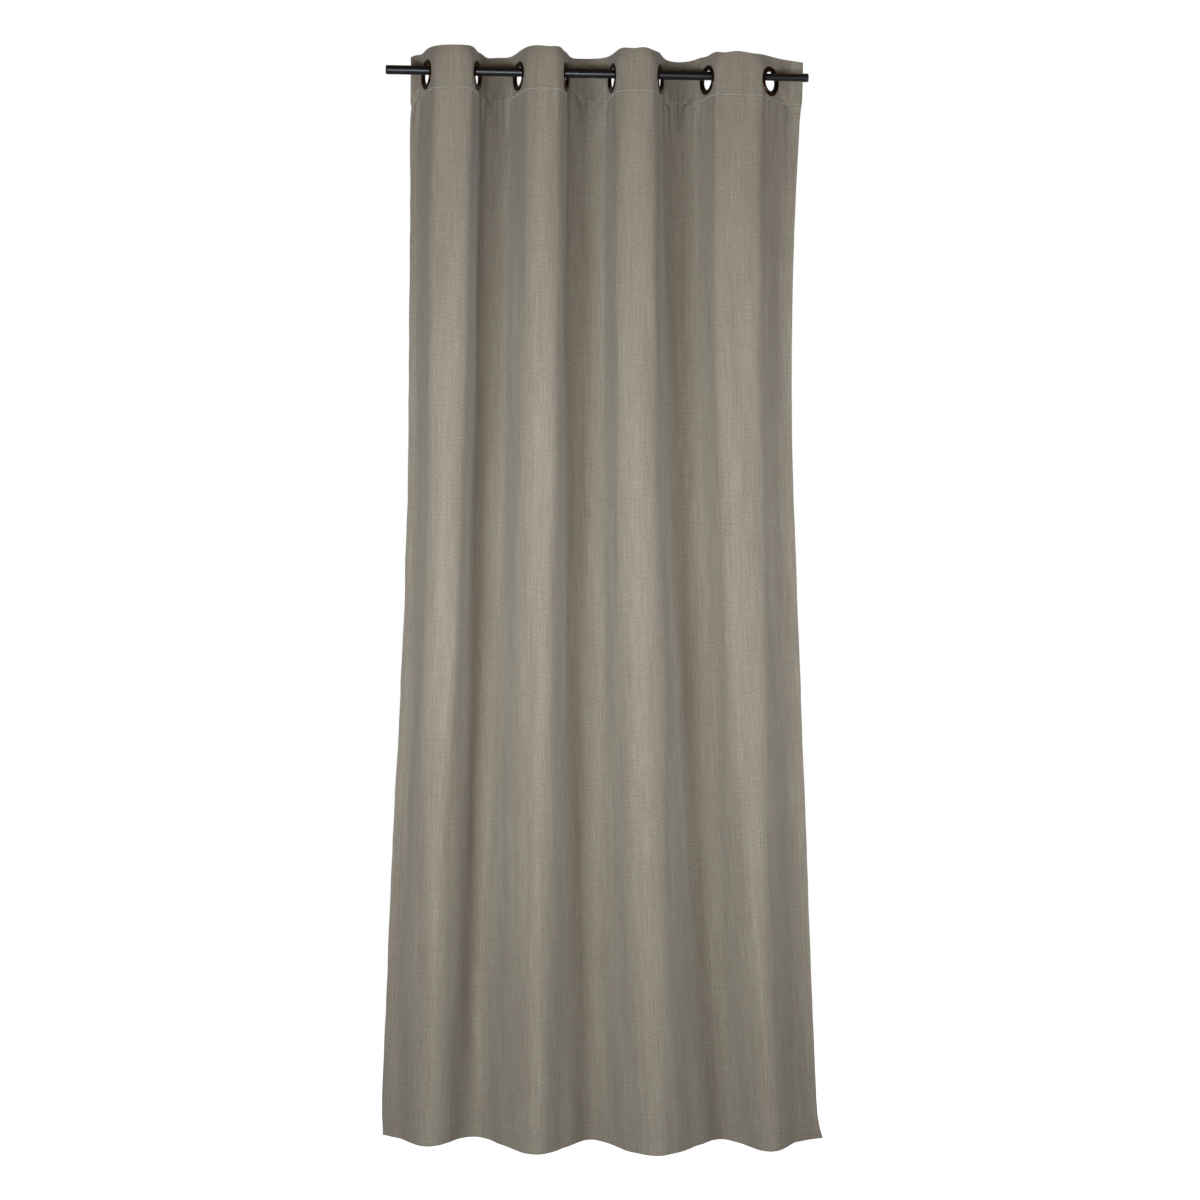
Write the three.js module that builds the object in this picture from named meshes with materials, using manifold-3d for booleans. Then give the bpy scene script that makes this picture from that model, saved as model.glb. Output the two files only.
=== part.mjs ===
// An eyelet curtain panel gathered on a telescopic pole.
// Millimetres, +Z up. The origin is on the pole's axis at the middle of its length,
// +X runs along the pole and the face of the panel looks towards -Y.
import * as THREE from 'three';
import { mergeVertices } from 'three/addons/utils/BufferGeometryUtils.js';
import Module from 'manifold-3d';

const wasm = await Module();
wasm.setup();

// ---- panel, measured flat ----
const PANEL_WIDTH = 1400;
const PANEL_DROP = 2450;
const HEM_DEPTH = 50;
const SIDE_HEM = 25;
const CLOTH_THICKNESS = 0.9;
const STIFFENER_THICKNESS = 0.6;
const SEAM_INSET = 8;             // from the turned edge of a hem to its line of stitches
const THREAD_WIDTH = 1;
const THREAD_THICKNESS = 0.5;
const LABEL_WIDTH = 35;
const LABEL_HEIGHT = 50;
const LABEL_ABOVE_HEM = 80;

// ---- eyelets ----
const EYELET_BORE = 42;
const EYELET_FLANGE = 66;
const EYELET_WALL = 1.2;
const EYELET_DOME = 2.4;          // how far a flange stands off the cloth
const EYELET_LIP = 3.6;           // how far the flange's crest stands outside the bore
const EYELET_ROLL = 0.8;          // how far the mouth of the bore stands off the cloth
const EYELET_RIM = 1.2;           // how far a flange's rim stands off the cloth
const EYELET_FROM_TOP = 56;
const HEADING_BELOW_EYELET = 11;  // from a flange to the lower edge of the heading
const EYELET_FROM_SIDE = 80;
const EYELET_HANG = 1.5;          // air between the top of the bore and the pole

// ---- pole ----
const OUTER_TUBE = 20;
const TUBE_WALL = 1.5;
const TUBE_PLAY = 0.5;            // air all round the inner tube
const INNER_TUBE_WALL = 1;
const OVERHANG_LEFT = 92;         // from the first eyelet to the end of the pole
const OVERHANG_RIGHT = 86;
const OUTER_TUBE_END_SHORT = 55;  // the outer tube ends this far before the last eyelet
const TUBE_OVERLAP = 390;
const CAP_HEAD = 3;
const CAP_PLUG = 12;
const CAP_SKIRT = 10;
const CAP_WALL = 1.2;
const CAP_CHAMFER = 1.5;

// ---- fits ----
const GAP = 0.3;
const FLAT_MARGIN = 2;            // flat cloth beyond an eyelet's flange
const HEM_FLAT = 8;               // the straight run at a crossing, at the bottom hem

// ---- folds ----
// Each eyelet stands where the cloth crosses the pole, turned this far from the pole's line.
const EYELET_LEAN = [68, 77, 68, 80, 76, 75, 66, 50];
// Width over length of the curved cloth between two eyelets.
const HEADING_CURL = [0.85, 0.68, 0.8, 0.835, 0.835, 0.78, 0.97];
// At the bottom hem: each fold's share of the cloth, its width over length,
// and how far its crossings stand behind the pole.
const HEM_SHARE = [0.095, 0.119, 0.141, 0.131, 0.156, 0.13, 0.109];
const HEM_GATHER = [0.767, 0.707, 0.695, 0.7, 0.739, 0.681, 0.67];
const HEM_DEPTHS = [35, 33, 0, -12, -15, -7, 13, 20];
const HEM_LEAN_GAIN = 1.2;
const HEM_FLARE = 20;             // the first crossing's step outwards at the hem
const FLAP_END_LEAN = { left: { heading: 30, hem: 34 }, right: { heading: 4, hem: 16 } };
const FOLD_EASE = 1.7;            // how late, going down, the heading's folds give way to the hem's

// ---- mesh fineness ----
const CURVE_STEPS = 24;
const FOLD_COLUMNS = 5;
const FLAP_COLUMNS = 5;
const BODY_ROWS = 9;
const ROUND_SIDES = 24;
const WELD = 1e-4;

const COUNT = EYELET_LEAN.length;
const POLE_RADIUS = OUTER_TUBE / 2;
const INNER_TUBE_RADIUS = POLE_RADIUS - TUBE_WALL - TUBE_PLAY;
const FLANGE_RADIUS = EYELET_FLANGE / 2;
const BORE_RADIUS = EYELET_BORE / 2;
const BARREL_RADIUS = BORE_RADIUS + EYELET_WALL;
const HOLE_RADIUS = BARREL_RADIUS + GAP;
const EYELET_Z = POLE_RADIUS + EYELET_HANG - BORE_RADIUS;
const TOP_Z = EYELET_Z + EYELET_FROM_TOP;
const BOTTOM_Z = TOP_Z - PANEL_DROP;
const HEADING_Z = EYELET_Z - FLANGE_RADIUS - HEADING_BELOW_EYELET;
const HEM_Z = BOTTOM_Z + HEM_DEPTH;
const EYELET_PITCH = (PANEL_WIDTH - 2 * EYELET_FROM_SIDE) / (COUNT - 1);
const FLAT_HALF = FLANGE_RADIUS + FLAT_MARGIN;

// Offsets across the cloth, from the middle of the face layer: front is negative.
const FACE_FRONT = -CLOTH_THICKNESS / 2;
const FACE_BACK = CLOTH_THICKNESS / 2;
const POCKET_BACK = FACE_BACK + STIFFENER_THICKNESS + 2 * GAP;
const HEADING_BACK = POCKET_BACK + CLOTH_THICKNESS;
const TURNED_BACK = FACE_BACK + CLOTH_THICKNESS;

const { lerp, degToRad } = THREE.MathUtils;

// ---------- solids ----------

function bareOf(geometry) {
  geometry.deleteAttribute('normal');
  geometry.deleteAttribute('uv');
  return geometry;
}

function toSolid(geometry) {
  const merged = mergeVertices(bareOf(geometry), WELD);
  return new wasm.Manifold(new wasm.Mesh({
    numProp: 3,
    vertProperties: new Float32Array(merged.attributes.position.array),
    triVerts: new Uint32Array(merged.index.array),
  }));
}

function toGeometry(solid) {
  const mesh = solid.getMesh();
  const geometry = new THREE.BufferGeometry();
  geometry.setAttribute('position', new THREE.BufferAttribute(mesh.vertProperties, 3));
  geometry.setIndex(new THREE.BufferAttribute(mesh.triVerts, 1));
  geometry.computeVertexNormals();
  return geometry;
}

// A ring or a plug turned about the X axis, from [radius, x] points.
function turned(profile) {
  const points = profile.map(([radius, along]) => new THREE.Vector2(radius, along));
  return new THREE.LatheGeometry(points, ROUND_SIDES).rotateZ(-Math.PI / 2);
}

// ---------- how the cloth folds ----------

function headingCrossings() {
  const leans = EYELET_LEAN.map(degToRad);
  const curved = EYELET_PITCH - 2 * FLAT_HALF;
  const xs = [0];
  HEADING_CURL.forEach((curl, i) => {
    const straight = FLAT_HALF * (Math.cos(leans[i]) + Math.cos(leans[i + 1]));
    xs.push(xs[i] + straight + curved * curl);
  });
  const middle = (xs[0] - OVERHANG_LEFT + xs[COUNT - 1] + OVERHANG_RIGHT) / 2;
  return leans.map((lean, i) => ({
    u: EYELET_FROM_SIDE + EYELET_PITCH * i, x: xs[i] - middle, y: 0, lean, flat: FLAT_HALF,
  }));
}

function hemCrossings(heading) {
  const slack = HEM_GATHER.map((gather) => Math.acos(gather));
  const crossings = [];
  let u = EYELET_FROM_SIDE;
  let x = heading[0].x - HEM_FLARE;
  for (let i = 0; i < COUNT; i += 1) {
    const before = slack[Math.max(i - 1, 0)];
    const after = slack[Math.min(i, COUNT - 2)];
    const lean = HEM_LEAN_GAIN * (before + after) / 2;
    crossings.push({ u, x, y: HEM_DEPTHS[i], lean, flat: HEM_FLAT });
    u += (HEM_SHARE[i] ?? 0) * PANEL_WIDTH;
    x += (HEM_SHARE[i] ?? 0) * PANEL_WIDTH * (HEM_GATHER[i] ?? 0);
  }
  return crossings;
}

const AT_HEADING = headingCrossings();
const AT_HEM = hemCrossings(AT_HEADING);

// How far, 0 to 1, the folds at height z have changed into the hem's.
function easeAt(z) {
  const down = Math.max(0, (HEADING_Z - z) / (HEADING_Z - BOTTOM_Z));
  return down ** FOLD_EASE;
}

// The cloth runs towards the front at even crossings, and back at odd ones.
function alongOf(lean, index) {
  const side = index % 2 === 0 ? -1 : 1;
  return new THREE.Vector2(Math.cos(lean), side * Math.sin(lean));
}

function crossingsAt(ease) {
  return AT_HEADING.map((top, i) => {
    const low = AT_HEM[i];
    const lean = lerp(top.lean, low.lean, ease);
    return {
      u: lerp(top.u, low.u, ease),
      at: new THREE.Vector2(lerp(top.x, low.x, ease), lerp(top.y, low.y, ease)),
      along: alongOf(lean, i),
      lean,
      flat: lerp(top.flat, low.flat, ease),
    };
  });
}

// The curve between two crossings, its handles drawn out until it is as long as the cloth.
function foldCurve(from, to, length) {
  const start = from.at.clone().addScaledVector(from.along, from.flat);
  const end = to.at.clone().addScaledVector(to.along, -to.flat);
  const curveFor = (pull) => new THREE.CubicBezierCurve(
    start,
    start.clone().addScaledVector(from.along, pull),
    end.clone().addScaledVector(to.along, -pull),
    end,
  );
  let [low, high] = [0, length];
  for (let step = 0; step < 30; step += 1) {
    const middle = (low + high) / 2;
    if (curveFor(middle).getLength() < length) low = middle;
    else high = middle;
  }
  return curveFor(low);
}

function foldPoints(from, to) {
  const length = to.u - from.u - from.flat - to.flat;
  return foldCurve(from, to, length).getSpacedPoints(CURVE_STEPS).map((point, step) => ({
    u: from.u + from.flat + (length * step) / CURVE_STEPS, x: point.x, y: point.y,
  }));
}

// The free edge beyond the first or last crossing, easing round to its end lean.
function flapPoints(crossing, edgeU, endLean, way) {
  const start = crossing.at.clone().addScaledVector(crossing.along, way * crossing.flat);
  const length = Math.abs(edgeU - crossing.u) - crossing.flat;
  const side = Math.sign(crossing.along.y) * way;
  const points = [{ u: crossing.u + way * crossing.flat, x: start.x, y: start.y }];
  for (let step = 0; step < CURVE_STEPS; step += 1) {
    const lean = lerp(crossing.lean, endLean, (step + 0.5) / CURVE_STEPS);
    const last = points[step];
    const run = length / CURVE_STEPS;
    points.push({
      u: last.u + way * run,
      x: last.x + way * run * Math.cos(lean),
      y: last.y + side * run * Math.sin(lean),
    });
  }
  return points;
}

function endLeanAt(flap, ease) {
  return degToRad(lerp(flap.heading, flap.hem, ease));
}

// The cloth's line seen from above at height z, as points with their flat distance u.
function sectionAt(z) {
  const ease = easeAt(z);
  const crossings = crossingsAt(ease);
  const left = flapPoints(crossings[0], 0, endLeanAt(FLAP_END_LEAN.left, ease), -1).reverse();
  const right = flapPoints(crossings[COUNT - 1], PANEL_WIDTH, endLeanAt(FLAP_END_LEAN.right, ease), 1);
  const folds = crossings.slice(1).flatMap((to, i) => foldPoints(crossings[i], to));
  return [...left, ...folds, ...right];
}

// The point at flat distance u, stood off by `offset` towards the back.
function pointOn(section, u, offset) {
  let i = section.findIndex((point) => point.u > u);
  if (i < 1) i = i === 0 ? 1 : section.length - 1;
  const [a, b] = [section[i - 1], section[i]];
  const share = (u - a.u) / (b.u - a.u);
  const before = section[Math.max(i - 2, 0)];
  const after = section[Math.min(i + 1, section.length - 1)];
  const dx = lerp(b.x - before.x, after.x - a.x, share);
  const dy = lerp(b.y - before.y, after.y - a.y, share);
  const run = Math.hypot(dx, dy);
  return [lerp(a.x, b.x, share) - (offset * dy) / run, lerp(a.y, b.y, share) + (offset * dx) / run];
}

// ---------- sheets that follow the folds ----------

function columnsOf(uStart, uEnd) {
  const marks = new Set([uStart, uEnd]);
  const addRun = (from, to, steps) => {
    for (let k = 0; k <= steps; k += 1) marks.add(lerp(from, to, k / steps));
  };
  AT_HEADING.forEach(({ u, flat }, i) => {
    if (i > 0) addRun(AT_HEADING[i - 1].u + flat, u - flat, FOLD_COLUMNS);
  });
  addRun(0, AT_HEADING[0].u - FLAT_HALF, FLAP_COLUMNS);
  addRun(AT_HEADING[COUNT - 1].u + FLAT_HALF, PANEL_WIDTH, FLAP_COLUMNS);
  const inside = [...marks].filter((u) => u >= uStart && u <= uEnd).sort((a, b) => a - b);
  return inside.filter((u, i) => i === 0 || i === inside.length - 1 || u - inside[i - 1] > 1);
}

function rowsOf(zLow, zHigh) {
  const marks = [zLow, zHigh];
  for (let k = 0; k <= BODY_ROWS; k += 1) marks.push(lerp(HEM_Z, HEADING_Z, k / BODY_ROWS));
  const inside = marks.filter((z) => z >= zLow && z <= zHigh).sort((a, b) => a - b);
  return inside.filter((z, i) => i === 0 || i === inside.length - 1 || z - inside[i - 1] > 1);
}

// A closed sheet between two offsets from the face layer.
function sheet(uStart, uEnd, zLow, zHigh, front, back) {
  const us = columnsOf(uStart, uEnd);
  const zs = rowsOf(zLow, zHigh);
  const positions = [];
  const faces = [];
  [front, back].forEach((offset) => zs.forEach((z) => {
    const section = sectionAt(z);
    us.forEach((u) => positions.push(...pointOn(section, u, offset), z));
  }));
  const at = (side, row, column) => (side * zs.length + row) * us.length + column;
  const quad = (a, b, c, d) => faces.push(a, b, c, a, c, d);
  const [lastRow, lastColumn] = [zs.length - 1, us.length - 1];
  for (let r = 0; r < lastRow; r += 1) {
    for (let c = 0; c < lastColumn; c += 1) {
      quad(at(0, r, c), at(0, r, c + 1), at(0, r + 1, c + 1), at(0, r + 1, c));
      quad(at(1, r, c), at(1, r + 1, c), at(1, r + 1, c + 1), at(1, r, c + 1));
    }
    quad(at(0, r, 0), at(0, r + 1, 0), at(1, r + 1, 0), at(1, r, 0));
    quad(at(0, r, lastColumn), at(1, r, lastColumn), at(1, r + 1, lastColumn), at(0, r + 1, lastColumn));
  }
  for (let c = 0; c < lastColumn; c += 1) {
    quad(at(0, 0, c), at(1, 0, c), at(1, 0, c + 1), at(0, 0, c + 1));
    quad(at(0, lastRow, c), at(0, lastRow, c + 1), at(1, lastRow, c + 1), at(1, lastRow, c));
  }
  const geometry = new THREE.BufferGeometry();
  geometry.setAttribute('position', new THREE.Float32BufferAttribute(positions, 3));
  geometry.setIndex(faces);
  return geometry;
}

// ---------- cloth ----------

// Where the eyelet's barrel passes, as a bar across the heading.
function eyeletPunch(index) {
  const bar = new THREE.CylinderGeometry(HOLE_RADIUS, HOLE_RADIUS, FLANGE_RADIUS, ROUND_SIDES);
  return toSolid(bar.applyMatrix4(eyeletPlace(index)));
}

function eyeletTurn(index) {
  const side = index % 2 === 0 ? -1 : 1;
  return side * AT_HEADING[index].lean;
}

// The lathe axis (Y) points out of the back of the cloth.
function eyeletPlace(index) {
  const place = new THREE.Matrix4().makeRotationZ(eyeletTurn(index));
  return place.setPosition(AT_HEADING[index].x, 0, EYELET_Z);
}

function punched(solid) {
  return AT_HEADING.reduce((rest, _, i) => rest.subtract(eyeletPunch(i)), solid);
}

function curtainCloth() {
  const lap = GAP;
  const face = toSolid(sheet(0, PANEL_WIDTH, BOTTOM_Z, TOP_Z, FACE_FRONT, FACE_BACK));
  const heading = toSolid(sheet(lap, PANEL_WIDTH - lap, HEADING_Z, TOP_Z - lap, 0, HEADING_BACK));
  const hem = toSolid(sheet(lap, PANEL_WIDTH - lap, BOTTOM_Z + lap, HEM_Z, 0, TURNED_BACK));
  const sides = [[lap, SIDE_HEM], [PANEL_WIDTH - SIDE_HEM, PANEL_WIDTH - lap]]
    .map(([from, to]) => toSolid(sheet(from, to, HEM_Z - lap, HEADING_Z + lap, 0, TURNED_BACK)));
  const pocket = toSolid(sheet(
    SIDE_HEM, PANEL_WIDTH - SIDE_HEM, HEADING_Z + SEAM_INSET, TOP_Z - CLOTH_THICKNESS - lap,
    FACE_BACK, POCKET_BACK,
  ));
  const whole = [heading, hem, ...sides].reduce((sum, piece) => sum.add(piece), face);
  return toGeometry(punched(whole.subtract(pocket)));
}

function headingStiffener() {
  const inset = SIDE_HEM + GAP;
  return toGeometry(punched(toSolid(sheet(
    inset, PANEL_WIDTH - inset, HEADING_Z + SEAM_INSET + GAP, TOP_Z - CLOTH_THICKNESS - 2 * GAP,
    FACE_BACK + GAP, POCKET_BACK - GAP,
  ))));
}

// A line of stitches along the face, a hair off the cloth.
function threadRun(uStart, uEnd, zLow, zHigh) {
  const back = FACE_FRONT - GAP;
  return sheet(uStart, uEnd, zLow, zHigh, back - THREAD_THICKNESS, back);
}

function crossThread(z) {
  return threadRun(SIDE_HEM / 2, PANEL_WIDTH - SIDE_HEM / 2, z, z + THREAD_WIDTH);
}

function sideThread(u) {
  const low = HEM_Z + SEAM_INSET;
  return threadRun(u, u + THREAD_WIDTH, low, HEADING_Z - SEAM_INSET);
}

function careLabel() {
  const low = HEM_Z + LABEL_ABOVE_HEM;
  const front = FACE_BACK + GAP;
  const start = SIDE_HEM + GAP;
  return sheet(start, start + LABEL_WIDTH, low, low + LABEL_HEIGHT, front, front + THREAD_THICKNESS);
}

// ---------- eyelets ----------

function lathed(profile, index) {
  const points = [...profile, profile[0]].map(([radius, offset]) => new THREE.Vector2(radius, offset));
  const ring = mergeVertices(bareOf(new THREE.LatheGeometry(points, ROUND_SIDES)), WELD);
  const geometry = ring.applyMatrix4(eyeletPlace(index));
  geometry.computeVertexNormals();
  return geometry;
}

function eyeletFront(index) {
  const seat = FACE_FRONT - GAP;
  const tail = HEADING_BACK + EYELET_WALL;
  return lathed([
    [FLANGE_RADIUS, seat],
    [BARREL_RADIUS, seat],
    [BARREL_RADIUS, tail],
    [BORE_RADIUS, tail],
    [BORE_RADIUS, seat - EYELET_ROLL],
    [BORE_RADIUS + EYELET_LIP, seat - EYELET_DOME],
    [FLANGE_RADIUS - EYELET_WALL, seat - EYELET_RIM],
  ], index);
}

function eyeletBack(index) {
  const seat = HEADING_BACK + GAP;
  return lathed([
    [HOLE_RADIUS, seat],
    [FLANGE_RADIUS, seat],
    [FLANGE_RADIUS - EYELET_WALL, seat + EYELET_RIM],
    [HOLE_RADIUS, seat + EYELET_RIM],
  ], index);
}

// ---------- pole ----------

const POLE_LEFT = AT_HEADING[0].x - OVERHANG_LEFT;
const POLE_RIGHT = AT_HEADING[COUNT - 1].x + OVERHANG_RIGHT;
const OUTER_TUBE_RIGHT = AT_HEADING[COUNT - 1].x - OUTER_TUBE_END_SHORT;

function tube(outside, wall, from, to) {
  const inside = outside - wall;
  return turned([[inside, from], [outside, from], [outside, to], [inside, to], [inside, from]]);
}

function outerTube() {
  return tube(POLE_RADIUS, TUBE_WALL, POLE_LEFT + CAP_HEAD + GAP, OUTER_TUBE_RIGHT);
}

function innerTube() {
  const from = OUTER_TUBE_RIGHT - TUBE_OVERLAP;
  return tube(INNER_TUBE_RADIUS, INNER_TUBE_WALL, from, POLE_RIGHT - CAP_HEAD - GAP);
}

// A plug pushed into the outer tube, with a chamfered head.
function capLeft() {
  const plug = POLE_RADIUS - TUBE_WALL - GAP;
  return turned([
    [0, POLE_LEFT],
    [POLE_RADIUS - CAP_CHAMFER, POLE_LEFT],
    [POLE_RADIUS, POLE_LEFT + CAP_CHAMFER],
    [POLE_RADIUS, POLE_LEFT + CAP_HEAD],
    [plug, POLE_LEFT + CAP_HEAD],
    [plug, POLE_LEFT + CAP_HEAD + CAP_PLUG],
    [0, POLE_LEFT + CAP_HEAD + CAP_PLUG],
  ]);
}

// A cup pushed over the inner tube.
function capRight() {
  const inside = INNER_TUBE_RADIUS + GAP;
  const outside = inside + CAP_WALL;
  const rim = POLE_RIGHT - CAP_HEAD - CAP_SKIRT;
  return turned([
    [0, POLE_RIGHT - CAP_HEAD],
    [inside, POLE_RIGHT - CAP_HEAD],
    [inside, rim],
    [outside, rim],
    [outside, POLE_RIGHT - CAP_CHAMFER],
    [outside - CAP_CHAMFER, POLE_RIGHT],
    [0, POLE_RIGHT],
  ]);
}

// ---------- assembly ----------

const finish = (color, roughness, metalness) => (
  new THREE.MeshStandardMaterial({ color, roughness, metalness }));
const LINEN = finish(0x9c958a, 0.9, 0);
const STIFFENER = finish(0xd9d6cd, 0.85, 0);
const THREAD = finish(0xa8a196, 0.8, 0);
const LABEL = finish(0xeeece6, 0.8, 0);
const BRONZE = finish(0x2b2320, 0.3, 0.9);
const BLACK_STEEL = finish(0x1a1a1b, 0.35, 0.8);
const BLACK_PLASTIC = finish(0x19191a, 0.45, 0);

const curtain = new THREE.Group();

function place(name, geometry, material) {
  const mesh = new THREE.Mesh(geometry, material);
  mesh.name = name;
  curtain.add(mesh);
}

place('pole_outer_tube', outerTube(), BLACK_STEEL);
place('pole_inner_tube', innerTube(), BLACK_STEEL);
place('pole_cap_left', capLeft(), BLACK_PLASTIC);
place('pole_cap_right', capRight(), BLACK_PLASTIC);
place('curtain_cloth', curtainCloth(), LINEN);
place('heading_stiffener', headingStiffener(), STIFFENER);
place('heading_thread', crossThread(HEADING_Z + SEAM_INSET / 2), THREAD);
place('hem_thread', crossThread(HEM_Z - SEAM_INSET / 2), THREAD);
place('side_thread_left', sideThread(SIDE_HEM - SEAM_INSET / 2), THREAD);
place('side_thread_right', sideThread(PANEL_WIDTH - SIDE_HEM + SEAM_INSET / 2), THREAD);
place('care_label', careLabel(), LABEL);
for (let i = 0; i < COUNT; i += 1) {
  place(`eyelet_front_${i + 1}`, eyeletFront(i), BRONZE);
  place(`eyelet_back_${i + 1}`, eyeletBack(i), BRONZE);
}

export default curtain;
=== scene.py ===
"""An eyelet curtain panel gathered on a telescopic pole, hung in a white studio.

The pole lies along X with the origin on its axis, the face of the panel looks
towards -Y and Z is up. Sizes are millimetres until MM turns them to metres.
"""
from __future__ import annotations

import logging
import math
from dataclasses import dataclass, field
from enum import Enum
from typing import Any, Callable, Iterable, Sequence

import bpy
import numpy as np
from mathutils import Matrix, Vector


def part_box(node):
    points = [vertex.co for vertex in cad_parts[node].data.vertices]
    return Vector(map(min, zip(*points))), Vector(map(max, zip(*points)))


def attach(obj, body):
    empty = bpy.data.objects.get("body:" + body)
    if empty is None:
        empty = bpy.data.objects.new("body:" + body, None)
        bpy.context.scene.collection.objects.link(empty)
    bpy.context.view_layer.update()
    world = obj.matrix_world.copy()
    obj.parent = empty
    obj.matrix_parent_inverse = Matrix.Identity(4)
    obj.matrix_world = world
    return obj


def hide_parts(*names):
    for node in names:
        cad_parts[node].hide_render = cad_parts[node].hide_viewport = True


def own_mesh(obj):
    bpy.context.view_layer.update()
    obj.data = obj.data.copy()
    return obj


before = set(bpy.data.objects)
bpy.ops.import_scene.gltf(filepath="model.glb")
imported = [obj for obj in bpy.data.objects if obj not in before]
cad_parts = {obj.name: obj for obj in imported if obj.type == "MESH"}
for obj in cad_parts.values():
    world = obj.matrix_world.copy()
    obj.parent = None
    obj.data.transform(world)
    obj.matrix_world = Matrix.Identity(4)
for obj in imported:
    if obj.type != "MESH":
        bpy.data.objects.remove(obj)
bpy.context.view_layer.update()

MM = 0.001
EYELETS = range(1, 9)
FLOOR_BELOW_HEM = 0.25  # metres
log = logging.getLogger("curtain")


# ---------------------------------------------------------------- colours and nodes


def linear(hex_colour: str, alpha: float = 1.0) -> tuple[float, float, float, float]:
    """Turn an sRGB hex colour into linear RGBA.

    Args:
        hex_colour: six hex digits, with or without a leading #.
        alpha: the fourth value, passed on as it is.

    Returns:
        Linear red, green, blue and the alpha.
    """
    digits = hex_colour.lstrip("#")
    channels = [int(digits[i : i + 2], 16) / 255 for i in (0, 2, 4)]
    turned = [c / 12.92 if c <= 0.04045 else ((c + 0.055) / 1.055) ** 2.4 for c in channels]
    return (*turned, alpha)


def add_node(
    tree: bpy.types.NodeTree,
    kind: str,
    settings: dict[str | int, Any] | None = None,
    links: dict[str | int, bpy.types.NodeSocket] | None = None,
) -> bpy.types.Node:
    """Add a shader node with its settings and the links into it.

    Args:
        tree: the node tree that gets the node.
        kind: the node's type name.
        settings: input values by socket name or number, or the node's own properties.
        links: for each input, the output socket that feeds it.

    Returns:
        The new node.
    """
    node = tree.nodes.new(kind)
    for key, value in (settings or {}).items():
        if isinstance(key, int) or key in node.inputs:
            node.inputs[key].default_value = value
        else:
            setattr(node, key, value)
    for key, source in (links or {}).items():
        tree.links.new(source, node.inputs[key])
    return node


def blank_material(name: str) -> tuple[bpy.types.Material, bpy.types.NodeTree, bpy.types.Node]:
    """Make an empty node material.

    Args:
        name: the material's name.

    Returns:
        The material, its tree and its output node.
    """
    material = bpy.data.materials.new(name)
    material.use_nodes = True
    tree = material.node_tree
    tree.nodes.clear()
    return material, tree, add_node(tree, "ShaderNodeOutputMaterial")


class Surface(Enum):
    """What a pattern's coordinates follow."""

    SOLID = "Object"
    CLOTH = "UV"


def pattern(
    tree: bpy.types.NodeTree, surface: Surface, cell_mm: Sequence[float], detail: float = 2.0
) -> bpy.types.NodeSocket:
    """Add a noise whose cells have a real size.

    Args:
        tree: the node tree.
        surface: what the coordinates follow.
        cell_mm: the size of one cell along each of the three coordinates.
        detail: the noise's octaves.

    Returns:
        The noise's value, from 0 to 1.
    """
    place = add_node(tree, "ShaderNodeTexCoord")
    scale = tuple(1000 / size for size in cell_mm)
    mapping = add_node(
        tree, "ShaderNodeMapping", {"Scale": scale}, {"Vector": place.outputs[surface.value]}
    )
    noise = add_node(
        tree,
        "ShaderNodeTexNoise",
        {"Scale": 1.0, "Detail": detail, "Roughness": 0.55},
        {"Vector": mapping.outputs["Vector"]},
    )
    return noise.outputs["Fac"]


def sum_of(
    tree: bpy.types.NodeTree, parts: Sequence[tuple[bpy.types.NodeSocket, float]]
) -> bpy.types.NodeSocket:
    """Add up values, each times its weight.

    Args:
        tree: the node tree.
        parts: pairs of a value and its weight.

    Returns:
        The socket that holds the sum.
    """
    total = None
    for value, weight in parts:
        links = {0: value} if total is None else {0: value, 2: total}
        node = add_node(
            tree, "ShaderNodeMath", {"operation": "MULTIPLY_ADD", 1: weight, 2: 0.0}, links
        )
        total = node.outputs[0]
    return total


def ramp(
    tree: bpy.types.NodeTree, value: bpy.types.NodeSocket, stops: Sequence[tuple[float, str]]
) -> bpy.types.NodeSocket:
    """Colour a value along a ramp.

    Args:
        tree: the node tree.
        value: what is coloured.
        stops: place and hex colour of each stop, in order.

    Returns:
        The colour socket.
    """
    node = add_node(tree, "ShaderNodeValToRGB", links={"Fac": value})
    points = node.color_ramp.elements
    while len(points) < len(stops):
        points.new(0.5)
    for point, (place, colour) in zip(points, stops):
        point.position = place
        point.color = linear(colour)
    return node.outputs["Color"]


def bump(
    tree: bpy.types.NodeTree, height: bpy.types.NodeSocket, depth_mm: float, strength: float
) -> bpy.types.NodeSocket:
    """Turn a height into a bumped normal.

    Args:
        tree: the node tree.
        height: the height, from 0 to 1.
        depth_mm: how deep 1 is.
        strength: how much of it shows.

    Returns:
        The normal socket.
    """
    node = add_node(
        tree, "ShaderNodeBump", {"Strength": strength, "Distance": depth_mm * MM}, {"Height": height}
    )
    return node.outputs["Normal"]


# ---------------------------------------------------------------- finishes


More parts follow.
